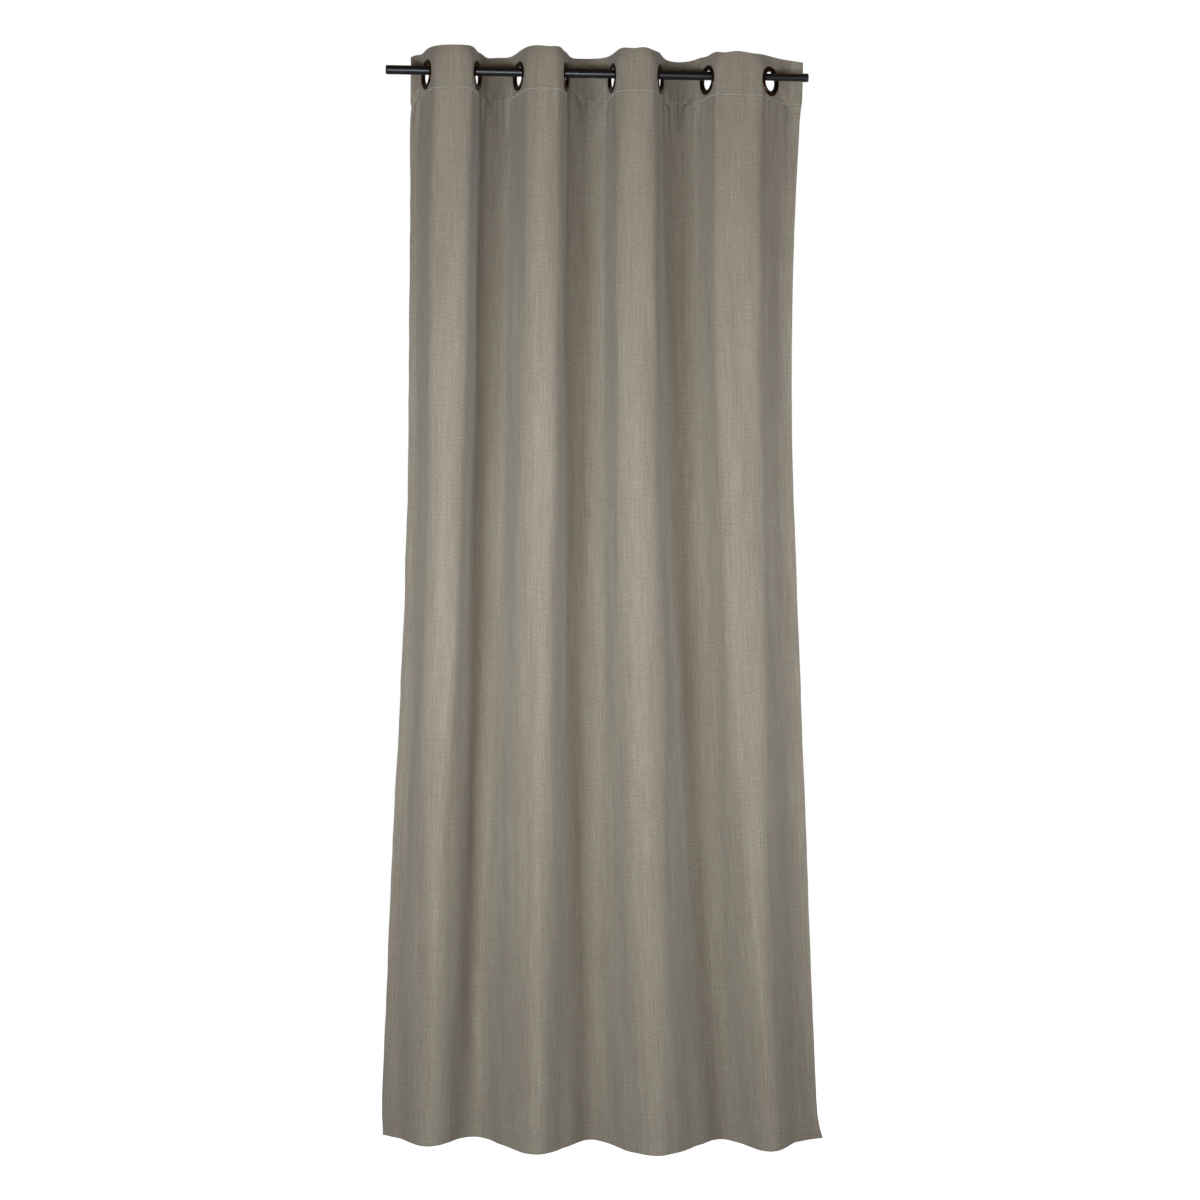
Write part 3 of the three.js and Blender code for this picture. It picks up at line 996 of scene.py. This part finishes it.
@dataclass
class CurtainPanel:
    """The cloth with its turned hems, its stiffener, stitches and label."""

    cut: PanelCut
    drape: Drape
    hole_radius: float = 26.0
    column_step: float = 5.1
    row_step: float = 28.0
    heading_step: float = 5.0
    stitch: float = 3.2
    stitch_pitch: float = 4.3
    stitch_radius: float = 0.7
    label_size: tuple[float, float] = (35, 50)
    label_above_hem: float = 80

    def build(self) -> None:
        """Build and dress every piece of the panel."""
        cloth = WovenCloth().material()
        heading_thread, hem_thread = SEWING_THREAD.material(), HEM_THREAD.material()
        self._finish(self._cloth(), cloth, "curtain_cloth")
        self._finish(self._stiffener(), HEADING_TAPE.material(), "heading_stiffener")
        self._finish(self._label(), LABEL_RIBBON.material(), "care_label")
        for name, line in self._stitch_lines().items():
            thread = heading_thread if name.startswith("heading") else hem_thread
            self._finish(self._stitches(f"{name}_stitches", line), thread, name)

    def _finish(self, piece: bpy.types.Object, material: bpy.types.Material, node: str) -> None:
        """Dress a piece, hide the frame's node that it stands for and ride it on the panel.

        Args:
            piece: the piece.
            material: its material.
            node: the frame's node that it stands for.
        """
        dress(piece, material)
        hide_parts(node)
        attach(piece, "panel")
        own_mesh(piece)
        log.info("%s: %d faces", piece.name, len(piece.data.polygons))

    def _layers(self, across: np.ndarray, down: np.ndarray) -> tuple[np.ndarray, np.ndarray, np.ndarray]:
        """Fold the cut cloth's turnings back.

        Args:
            across: distances across the cut cloth, negative on the left turning.
            down: distances down it, negative on the heading's turning.

        Returns:
            Distance from the left edge, from the top edge, and offset towards the back.
        """
        cut = self.cut
        left, left_off = turned_edge(across, cut.side_turn)
        right, right_off = turned_edge(cut.width - across, cut.side_turn)
        on_left = across < cut.width / 2
        u = np.where(on_left, left, cut.width - right)
        side_off = np.where(on_left, left_off, right_off)
        top, top_off = turned_edge(down, cut.hem_turn)
        low, low_off = turned_edge(cut.drop - down, cut.hem_turn)
        on_top = down < cut.drop / 2
        v = np.where(on_top, top, cut.drop - low)
        share = np.where(on_top, top_off, low_off) / cut.hem_turn
        return u, v, side_off + share * (cut.hem_turn - 2 * side_off)

    def _cloth(self) -> bpy.types.Object:
        """Make the cloth as one sheet, from turning to turning, holed for the eyelets.

        Returns:
            The cloth.
        """
        cut = self.cut
        side_line = cut.side_hem - cut.seam_inset
        seam = cut.heading - cut.seam_inset
        low_seam = cut.drop - cut.hem + cut.seam_inset
        sharp = (0, side_line, cut.width - side_line, cut.width)
        columns = graded(-cut.side_hem, cut.width + cut.side_hem, self.column_step, sharp)
        below_heading, above_hem = cut.heading + 12, cut.drop - cut.hem - 10
        rows = np.concatenate([
            graded(-cut.heading, below_heading, self.heading_step, (-seam, 0, seam)),
            graded(below_heading, above_hem, self.row_step)[1:],
            graded(above_hem, cut.drop + cut.hem, self.heading_step * 1.6, (low_seam, cut.drop))[1:],
        ])
        across, down = np.meshgrid(columns, rows)
        keep_vertex, across, down = self._punch(across, down)
        u, v, offset = self._layers(across, down)
        points = self.drape.place(u, v, offset).reshape(-1, 3)
        wide = len(columns)
        faces = [
            (r * wide + c, r * wide + c + 1, (r + 1) * wide + c + 1, (r + 1) * wide + c)
            for r in range(len(rows) - 1)
            for c in range(wide - 1)
        ]
        kept = keep_vertex.reshape(-1)
        faces = [f for f in faces if all(kept[i] for i in f)]
        piece = self._sheet("curtain_panel_cloth", points, faces, across, down, cut.thickness)
        return piece

    def _punch(self, across: np.ndarray, down: np.ndarray) -> tuple[np.ndarray, np.ndarray, np.ndarray]:
        """Clear the grid points inside the eyelet holes and round the points next to them.

        Args:
            across: the grid's distances across the cut cloth.
            down: the grid's distances down it.

        Returns:
            Which points stay, and both grids with the holes' edges rounded.
        """
        cut = self.cut
        kept = np.ones(across.shape, bool)
        across, down = across.copy(), down.copy()
        pitch = (cut.width - 2 * cut.eyelet_from_side) / (len(self.drape.eyelet_x) - 1)
        for i in range(len(self.drape.eyelet_x)):
            for side in (-1, 1):
                centre_u = cut.eyelet_from_side + pitch * i
                centre_v = side * cut.eyelet_from_top
                du, dv = across - centre_u, down - centre_v
                far = np.hypot(du, dv)
                kept &= far > self.hole_radius - 3.2
                near = (far > self.hole_radius - 3.2) & (far < self.hole_radius + 1.5)
                grow = np.where(near, self.hole_radius / np.maximum(far, 1), 1)
                across, down = centre_u + du * grow, centre_v + dv * grow
        return kept, across, down

    def _sheet(
        self,
        name: str,
        points: np.ndarray,
        faces: list[tuple[int, ...]],
        across: np.ndarray,
        down: np.ndarray,
        thickness: float,
    ) -> bpy.types.Object:
        """Make a sheet with its own UV map in metres of flat cloth, and give it its thickness.

        Args:
            name: the piece's name.
            points: the grid's points in metres.
            faces: its faces.
            across: each point's distance across the flat cloth.
            down: each point's distance down it.
            thickness: how thick the cloth is.

        Returns:
            The finished sheet.
        """
        used = sorted({i for f in faces for i in f})
        number = {old: new for new, old in enumerate(used)}
        piece = mesh_object(name, points[used], [[number[i] for i in f] for f in faces])
        layout = np.stack([across.reshape(-1)[used], -down.reshape(-1)[used]], axis=1) * MM
        uv = piece.data.uv_layers.new(name="cloth")
        corners = np.empty(len(piece.data.loops), int)
        piece.data.loops.foreach_get("vertex_index", corners)
        uv.data.foreach_set("uv", layout[corners].reshape(-1).astype(np.float32))
        apply_modifier(piece, "SOLIDIFY", thickness=thickness * MM, offset=0.0, use_even_offset=False)
        for polygon in piece.data.polygons:
            polygon.use_smooth = True
        return piece

    def _grid_sheet(
        self,
        name: str,
        us: np.ndarray,
        vs: np.ndarray,
        offset: Callable[[np.ndarray, np.ndarray], np.ndarray],
        thickness: float,
    ) -> bpy.types.Object:
        """Make a plain strip that follows the cloth at an offset.

        Args:
            name: the piece's name.
            us: its columns' distances from the left edge.
            vs: its rows' distances from the top edge.
            offset: gives how far behind the face layer each place lies.
            thickness: how thick it is.

        Returns:
            The strip.
        """
        across, down = np.meshgrid(us, vs)
        points = self.drape.place(across, down, offset(across, down)).reshape(-1, 3)
        kept = self._punch(across, down)[0].reshape(-1)
        wide = len(us)
        faces = [
            (r * wide + c, r * wide + c + 1, (r + 1) * wide + c + 1, (r + 1) * wide + c)
            for r in range(len(vs) - 1)
            for c in range(wide - 1)
        ]
        faces = [f for f in faces if all(kept[i] for i in f)]
        return self._sheet(name, points, faces, across, down, thickness)

    def _stiffener(self) -> bpy.types.Object:
        """Make the tape inside the heading.

        Returns:
            The tape.
        """
        cut = self.cut
        us = graded(cut.side_hem + 1, cut.width - cut.side_hem - 1, self.column_step)
        vs = graded(3, cut.heading - cut.seam_inset - 4, self.heading_step)
        piece = self._grid_sheet(
            "heading_stiffener_tape", us, vs, lambda u, v: np.full_like(u, cut.hem_turn / 2), 0.5
        )
        return piece

    def _label(self) -> bpy.types.Object:
        """Make the blank care label, sewn to the left side hem at the back.

        Returns:
            The label.
        """
        cut = self.cut
        wide, tall = self.label_size
        sewn_in = 2
        us = np.linspace(cut.side_hem - sewn_in, cut.side_hem + wide, 19)
        low = cut.drop - cut.hem - self.label_above_hem
        vs = np.linspace(low - tall, low, 27)

        def lift(u: np.ndarray, v: np.ndarray) -> np.ndarray:
            """Stand the label off the cloth a little more towards its loose end.

            Args:
                u: distance from the left edge.
                v: distance from the top edge.

            Returns:
                How far behind the cloth's face each place lies.
            """
            loose = np.clip((u - cut.side_hem) / wide, 0, 1)
            return 1.4 + 3.2 * loose**1.6 + 0.5 * np.sin(v / 9) * loose

        piece = self._grid_sheet("care_label_ribbon", us, vs, lift, 0.25)
        return piece

    def _stitch_lines(self) -> dict[str, tuple[np.ndarray, np.ndarray, bool]]:
        """Say where each line of stitches runs.

        Returns:
            For each line, starts across, starts down, and whether it runs across.
        """
        cut = self.cut
        across = np.arange(5, cut.width - 8, self.stitch_pitch)
        down = np.arange(cut.heading + 3, cut.drop - cut.hem - 4, self.stitch_pitch)
        seam, low_seam = cut.heading - cut.seam_inset, cut.drop - cut.hem + cut.seam_inset
        side = cut.side_hem - cut.seam_inset
        return {
            "heading_thread": (across, np.full_like(across, seam), True),
            "hem_thread": (across, np.full_like(across, low_seam), True),
            "side_thread_left": (np.full_like(down, side), down, False),
            "side_thread_right": (np.full_like(down, cut.width - side), down, False),
        }

    def _stitches(self, name: str, line: tuple[np.ndarray, np.ndarray, bool]) -> bpy.types.Object:
        """Lay a line of stitches on the face and another on the back.

        Args:
            name: the piece's name.
            line: where the stitches start, across and down, and whether they run across.

        Returns:
            All the stitches as one piece.
        """
        starts_u, starts_v, runs_across = line
        back = self.cut.hem_turn if runs_across else self.cut.side_turn
        sides, places = 6, np.array([0.0, 0.16, 0.5, 0.84, 1.0])
        radii = np.array([0.45, 0.9, 1.0, 0.9, 0.45]) * self.stitch_radius
        half = self.cut.thickness / 2
        points, faces = [], []
        turn = np.linspace(0, 2 * np.pi, sides, endpoint=False)
        for level, outward in ((-half, -1.0), (back + half, 1.0)):
            step = places * self.stitch
            u = starts_u[:, None] + (step if runs_across else 0 * step)
            v = starts_v[:, None] + (0 * step if runs_across else step)
            sunk = np.array([-0.25, 0.15, 0.3, 0.15, -0.25])
            centre = self.drape.place(u, v, level + outward * sunk)
            off = self.drape.place(u, v, level + outward * (sunk + 1))
            normal = off - centre
            normal /= np.linalg.norm(normal, axis=-1, keepdims=True)
            along = np.gradient(centre, axis=1)
            along /= np.linalg.norm(along, axis=-1, keepdims=True)
            across = np.cross(along, normal)
            ring = (
                centre[:, :, None]
                + (radii * MM)[None, :, None, None]
                * (np.cos(turn)[:, None] * normal[:, :, None] + np.sin(turn)[:, None] * across[:, :, None])
            )
            base = sum(len(p) for p in points)
            points.append(ring.reshape(-1, 3))
            faces += self._stitch_faces(len(starts_u), len(places), sides, base)
        piece = mesh_object(name, np.concatenate(points), faces)
        deselect_all()
        piece.select_set(True)
        bpy.context.view_layer.objects.active = piece
        bpy.ops.object.mode_set(mode="EDIT")
        bpy.ops.mesh.select_all(action="SELECT")
        bpy.ops.mesh.normals_make_consistent(inside=False)
        bpy.ops.object.mode_set(mode="OBJECT")
        for polygon in piece.data.polygons:
            polygon.use_smooth = True
        return piece

    @staticmethod
    def _stitch_faces(count: int, rings: int, sides: int, base: int) -> list[tuple[int, ...]]:
        """Number the faces of a run of short capped tubes.

        Args:
            count: how many tubes.
            rings: rings of points in each.
            sides: points in each ring.
            base: the first point's number.

        Returns:
            The faces.
        """
        faces: list[tuple[int, ...]] = []
        for k in range(count):
            first = base + k * rings * sides
            for r in range(rings - 1):
                for s in range(sides):
                    a, b = first + r * sides + s, first + r * sides + (s + 1) % sides
                    faces.append((a, b, b + sides, a + sides))
            faces.append(tuple(first + s for s in reversed(range(sides))))
            faces.append(tuple(first + (rings - 1) * sides + s for s in range(sides)))
        return faces


# ---------------------------------------------------------------- eyelets


class EyeletHalf(Enum):
    """The two pressings that clamp the cloth."""

    FRONT = "eyelet_front"
    BACK = "eyelet_back"


@dataclass
class Eyelets:
    """The pairs of pressed rings through the heading, in millimetres."""

    plan: FoldPlan
    drape: Drape
    centre_z: float
    bore: float = 21.0
    flange: float = 33.0
    seat: float = 0.35
    dome: float = 2.6
    back_seat: float = 2.75
    sides: int = 72

    def profile(self, half: EyeletHalf) -> list[tuple[float, float]]:
        """The pressing's section as radius and height, towards the back of the cloth.

        Args:
            half: which of the two pressings.

        Returns:
            The section's points, which close on themselves.
        """
        bore, flange = self.bore, self.flange
        if half is EyeletHalf.FRONT:
            seat, crest = -self.seat, -self.seat - self.dome
            return [
                (flange - 0.2, seat), (flange, seat - 0.5), (flange - 0.5, seat - 1.2),
                (flange - 2.0, crest + 0.5), (flange - 4.2, crest), (flange - 6.6, crest + 0.05),
                (flange - 8.8, crest + 0.6), (bore + 1.6, crest + 1.3), (bore + 0.5, crest + 2.3),
                (bore, crest + 3.6), (bore, self.back_seat + 0.2), (bore + 0.25, self.back_seat + 1.2),
                (bore + 0.8, self.back_seat + 1.8), (bore + 1.6, self.back_seat + 1.95),
                (bore + 2.2, self.back_seat + 1.6), (bore + 1.5, self.back_seat + 1.1),
                (bore + 1.15, self.back_seat + 0.4), (bore + 1.1, 0.0), (bore + 1.3, seat),
            ]
        seat, crest = self.back_seat, self.back_seat + 1.5
        return [
            (bore + 1.7, seat), (bore + 2.7, crest - 0.1), (bore + 4.4, crest + 0.25),
            (flange - 5, crest + 0.2), (flange - 2.4, crest - 0.2), (flange - 0.8, crest - 0.8),
            (flange, seat + 0.4), (flange - 0.2, seat),
        ]

    def build(self) -> None:
        """Model one of each half, copy it to every eyelet and dress the copies."""
        finish = BRONZE_PLATE.material()
        for half in EyeletHalf:
            master = spun(f"{half.value}_master", self.profile(half), self.sides, closed=True)
            shade_smooth(master, 40)
            for i in EYELETS:
                piece = copy_to(master, f"{half.value}_ring_{i}", self.place(i))
                dress(piece, finish)
                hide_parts(f"{half.value}_{i}")
                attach(piece, "panel" if i == 1 else f"eyelet_{i}")
            log.info("%s: %d faces each", half.value, len(master.data.polygons))
            bpy.data.objects.remove(master, do_unlink=True)

    def place(self, number: int) -> Matrix:
        """Find where an eyelet stands, its axis along the cloth's normal.

        Args:
            number: the eyelet's number, from 1 at the left.

        Returns:
            Its place and turn, in metres.
        """
        lean = math.radians(self.plan.eyelet_lean[number - 1])
        turn = -lean if number % 2 else lean
        centre = Vector((self.drape.eyelet_x[number - 1] * MM, 0, self.centre_z * MM))
        upright = Matrix.Rotation(math.radians(-90), 4, "X")
        return Matrix.Translation(centre) @ Matrix.Rotation(turn, 4, "Z") @ upright


# ---------------------------------------------------------------- pole


@dataclass
class TelescopicPole:
    """Two tubes, one sliding in the other, and the fittings at their ends."""

    outer_radius: float
    inner_radius: float
    left: float
    right: float
    outer_from: float
    outer_to: float
    inner_from: float
    inner_to: float
    outer_wall: float = 1.5
    inner_wall: float = 1.0
    sides: int = 72

    @classmethod
    def from_frame(cls) -> "TelescopicPole":
        """Read the tubes' places from the frame.

        Returns:
            The pole.
        """
        outer_low, outer_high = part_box("pole_outer_tube")
        inner_low, inner_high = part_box("pole_inner_tube")
        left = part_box("pole_cap_left")[0]
        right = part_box("pole_cap_right")[1]
        return cls(
            outer_radius=outer_high[2] / MM, inner_radius=inner_high[2] / MM,
            left=left[0] / MM, right=right[0] / MM,
            outer_from=outer_low[0] / MM, outer_to=outer_high[0] / MM,
            inner_from=inner_low[0] / MM, inner_to=inner_high[0] / MM,
        )

    def tube_profile(self, radius: float, wall: float, start: float, end: float) -> list[tuple[float, float]]:
        """Draw a tube's wall in section, its mouths broken by a small radius.

        Args:
            radius: the tube's outer radius.
            wall: its wall.
            start: where it starts along the pole.
            end: where it ends.

        Returns:
            The section's points, as radius and place along the pole.
        """
        inner, soft = radius - wall, 0.35
        return [
            (inner, start + soft), (inner + soft, start), (radius - soft, start), (radius, start + soft),
            (radius, end - soft), (radius - soft, end), (inner + soft, end), (inner, end - soft),
        ]

    def left_plug_profile(self) -> list[tuple[float, float]]:
        """Draw the plug: a domed head with a rounded rim, and a ribbed shank inside the tube.

        Returns:
            The section's points, as radius and place along the pole.
        """
        r, x, shank = self.outer_radius, self.left, self.outer_radius - self.outer_wall - 0.2
        head = self.outer_from - 0.2
        shape = [(r - 3.2, x), (r - 1.6, x + 0.25), (r - 0.6, x + 0.8), (r - 0.1, x + 1.6), (r, head - 0.3)]
        shape += [(r - 0.3, head), (shank - 0.4, head)]
        for rib in range(3):
            along = head + 2 + 3 * rib
            shape += [(shank - 0.4, along), (shank, along + 0.4)]
            shape += [(shank, along + 1.2), (shank - 0.4, along + 1.6)]
        return [*shape, (shank - 0.4, head + 11.5), (shank - 1.4, head + 12)]

    def right_cap_profile(self) -> list[tuple[float, float]]:
        """Draw the cap: a cup over the thinner tube with a rounded end and a beaded rim.

        Returns:
            The section's points, as radius and place along the pole.
        """
        inside, outside = self.inner_radius + 0.25, self.inner_radius + 1.5
        rim, floor = self.right - 13, self.right - 2.8
        return [
            (0.4, floor), (inside, floor), (inside, rim + 0.3), (inside + 0.3, rim), (outside - 0.2, rim),
            (outside + 0.25, rim + 0.6), (outside + 0.25, rim + 1.4), (outside, rim + 2.0),
            (outside, self.right - 2.0), (outside - 0.5, self.right - 0.7), (outside - 1.6, self.right - 0.1),
            (outside - 3.0, self.right), (0.4, self.right),
        ]

    def build(self) -> None:
        """Build and dress the tubes and their fittings."""
        powder, nylon = BLACK_POWDER.material(), BLACK_NYLON.material()
        outer = self.tube_profile(self.outer_radius, self.outer_wall, self.outer_from, self.outer_to)
        inner = self.tube_profile(self.inner_radius, self.inner_wall, self.inner_from, self.inner_to)
        plug, cap = self.left_plug_profile(), self.right_cap_profile()
        plans = (
            ("pole_tube_outer", outer, True, powder, "pole_steel", "pole_outer_tube", "pole"),
            ("pole_tube_inner", inner, True, powder, "pole_steel", "pole_inner_tube", "pole_inner"),
            ("pole_plug_left", plug, False, nylon, "pole_cap", "pole_cap_left", "pole"),
            ("pole_end_cap_right", cap, True, nylon, "pole_cap", "pole_cap_right", "pole_inner"),
        )
        for name, profile, closed, finish, slot, node, body in plans:
            piece = spun(name, profile, self.sides, closed)
            piece.data.transform(Matrix.Rotation(math.radians(90), 4, "Y"))
            shade_smooth(piece, 35)
            dress(piece, finish)
            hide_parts(node)
            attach(piece, body)
            log.info("%s: %d faces", name, len(piece.data.polygons))


# ---------------------------------------------------------------- studio


@dataclass(frozen=True)
class SoftLight:
    """One area light, aimed at a point, in metres, watts and degrees."""

    name: str
    at: tuple[float, float, float]
    towards: tuple[float, float, float]
    size: tuple[float, float]
    power: float
    colour: str = "#ffffff"
    spread: float = 130.0

    def add(self) -> None:
        """Add the light to the scene."""
        data = bpy.data.lights.new(self.name, "AREA")
        data.shape = "RECTANGLE"
        data.size, data.size_y = self.size
        data.energy = self.power
        data.color = linear(self.colour)[:3]
        data.spread = math.radians(self.spread)
        light = bpy.data.objects.new(self.name, data)
        light.location = self.at
        aim = Vector(self.towards) - Vector(self.at)
        light.rotation_euler = aim.to_track_quat("-Z", "Y").to_euler()
        bpy.context.scene.collection.objects.link(light)


@dataclass
class Studio:
    """A pale floor, soft lights and the camera, in metres, degrees and millimetres of lens."""

    floor_z: float
    floor_radius: float = 2.4
    target: tuple[float, float, float] = (0.020, 0.0, -1.179)
    distance: float = 4.445
    azimuth: float = -1.6
    roll: float = 0.72
    lens: float = 59.5
    ambient: float = 0.1
    air: str = "#ffdcb4"
    lights: tuple[SoftLight, ...] = (
        SoftLight("key_left", (-1.6, -2.0, -1.12), (0.0, 0.0, -1.12), (0.8, 0.8), 20.0, "#e8efff"),
        SoftLight("key_front", (-0.3, -2.6, -1.12), (0.0, 0.0, -1.12), (0.8, 0.8), 23.5, "#e8efff"),
        SoftLight("fill_right", (2.2, -1.5, -1.12), (0.0, 0.0, -1.12), (0.8, 0.8), 16.4, "#e8efff"),
        SoftLight("back_fill", (0.7, 2.9, -1.2), (0.0, 0.0, -1.2), (1.6, 1.6), 22.0, "#f4f6ff"),
    )

    def build(self) -> None:
        """Set the whole studio up."""
        self._floor()
        self._air()
        for light in self.lights:
            light.add()
        self._camera()

    def _floor(self) -> None:
        """Make a round floor of white paper."""
        turn = np.linspace(0, 2 * np.pi, 96, endpoint=False)
        rim = np.stack([np.cos(turn), np.sin(turn)], axis=1) * self.floor_radius
        points = np.column_stack([rim, np.full(len(rim), self.floor_z)])
        floor = mesh_object("studio_floor", points, [range(len(points))])
        material, tree, output = blank_material("white_paper")
        seen = add_node(tree, "ShaderNodeLightPath").outputs["Is Camera Ray"]
        shader = add_node(
            tree,
            "ShaderNodeBsdfPrincipled",
            {"Base Color": linear("#b8b8b8"), "Roughness": 0.9, "Emission Color": linear("#ffffff")},
            {"Emission Strength": seen},
        )
        tree.links.new(shader.outputs[0], output.inputs[0])
        floor.data.materials.append(material)

    def _air(self) -> None:
        """Light everything evenly and softly from all round, on pure white."""
        world = bpy.data.worlds.new("studio_air")
        world.use_nodes = True
        tree = world.node_tree
        tree.nodes.clear()
        seen = add_node(tree, "ShaderNodeLightPath").outputs["Is Camera Ray"]
        soft = add_node(tree, "ShaderNodeBackground", {"Color": linear(self.air), "Strength": self.ambient})
        white = add_node(tree, "ShaderNodeBackground", {"Color": linear("#ffffff"), "Strength": 1.0})
        mixed = add_node(
            tree, "ShaderNodeMixShader", links={0: seen, 1: soft.outputs[0], 2: white.outputs[0]}
        )
        add_node(tree, "ShaderNodeOutputWorld", links={"Surface": mixed.outputs[0]})
        bpy.context.scene.world = world
        bpy.context.scene.view_settings.view_transform = "Standard"

    def _camera(self) -> None:
        """Place the camera level with the middle of the panel."""
        data = bpy.data.cameras.new("camera")
        data.lens, data.sensor_width = self.lens, 36.0
        camera = bpy.data.objects.new("camera", data)
        bpy.context.scene.collection.objects.link(camera)
        angle = math.radians(self.azimuth)
        back = Vector((math.sin(angle), -math.cos(angle), 0))
        target = Vector(self.target)
        camera.location = target + back * self.distance
        aim = (-back).to_track_quat("-Z", "Y").to_matrix().to_4x4()
        camera.rotation_euler = (aim @ Matrix.Rotation(math.radians(self.roll), 4, "Z")).to_euler()
        bpy.context.scene.camera = camera


# ---------------------------------------------------------------- assembly


def main() -> None:
    """Build the curtain, the pole and the studio round the frame."""
    logging.basicConfig(level=logging.INFO, format="%(name)s: %(message)s")
    cut, plan = PanelCut(), FoldPlan()
    rings = [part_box(f"eyelet_front_{i}") for i in EYELETS]
    eyelet_x = [(low[0] + high[0]) / 2 / MM for low, high in rings]
    flange = (rings[0][1][2] - rings[0][0][2]) / 2 / MM
    cloth_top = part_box("curtain_cloth")[1][2] / MM
    drape = Drape(cut, plan, eyelet_x, cloth_top)
    CurtainPanel(cut, drape).build()
    Eyelets(plan, drape, cloth_top - cut.eyelet_from_top, flange=flange).build()
    TelescopicPole.from_frame().build()
    Studio(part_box("curtain_cloth")[0][2] - FLOOR_BELOW_HEM).build()


if __name__ == "__main__":
    main()
